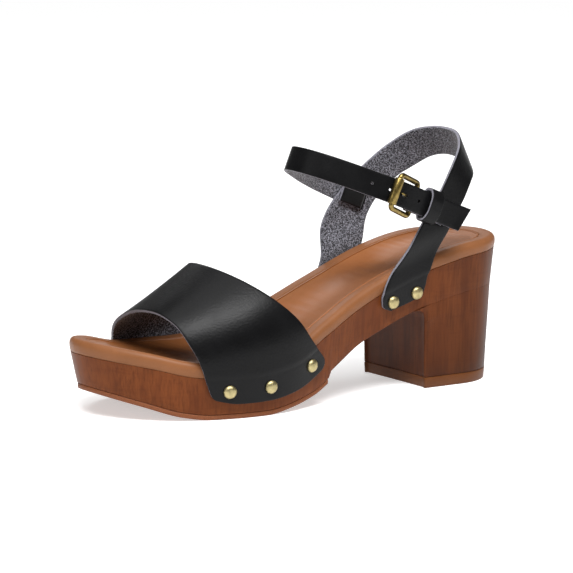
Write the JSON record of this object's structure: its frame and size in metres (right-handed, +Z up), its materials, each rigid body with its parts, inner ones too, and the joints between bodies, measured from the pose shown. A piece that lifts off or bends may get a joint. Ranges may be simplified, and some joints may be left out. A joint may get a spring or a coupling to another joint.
{
  "type": "block heel sandal",
  "caption": "Left platform sandal with a block heel, a wide toe band, a sling back and a buckled ankle strap.",
  "frame": {"origin": "floor, under the middle of the shoe's bounding box", "axes": "+Y from toe to heel, +Z up, +X towards the outer side, where the buckle is"},
  "size_m": [0.0942, 0.2328, 0.1259],
  "materials": {
    "wood_wrap": "satin",
    "outsole_rubber": "matte",
    "tip_rubber": "matte",
    "tan_leather": "satin",
    "tan_sock": "satin",
    "black_leather": "satin",
    "aged_brass": "polished, aged"
  },
  "bodies": {
    "root": {"platform": "wood_wrap", "heel_block": "wood_wrap", "heel_tip": "tip_rubber", "outsole": "outsole_rubber", "footbed": "tan_leather", "sock_lining": "tan_sock", "toe_band": "black_leather", "sling_strap": "black_leather", "ankle_strap": "black_leather", "buckle_chape": "black_leather", "keeper": "black_leather", "buckle_frame": "aged_brass", "buckle_roller": "aged_brass", "buckle_prong": "aged_brass", "stud_band_outer_1": "aged_brass", "stud_band_outer_2": "aged_brass", "stud_band_outer_3": "aged_brass", "stud_band_inner_1": "aged_brass", "stud_band_inner_2": "aged_brass", "stud_band_inner_3": "aged_brass", "stud_sling_outer_1": "aged_brass", "stud_sling_outer_2": "aged_brass", "stud_sling_inner_1": "aged_brass", "stud_sling_inner_2": "aged_brass"}
  },
  "joints": []
}
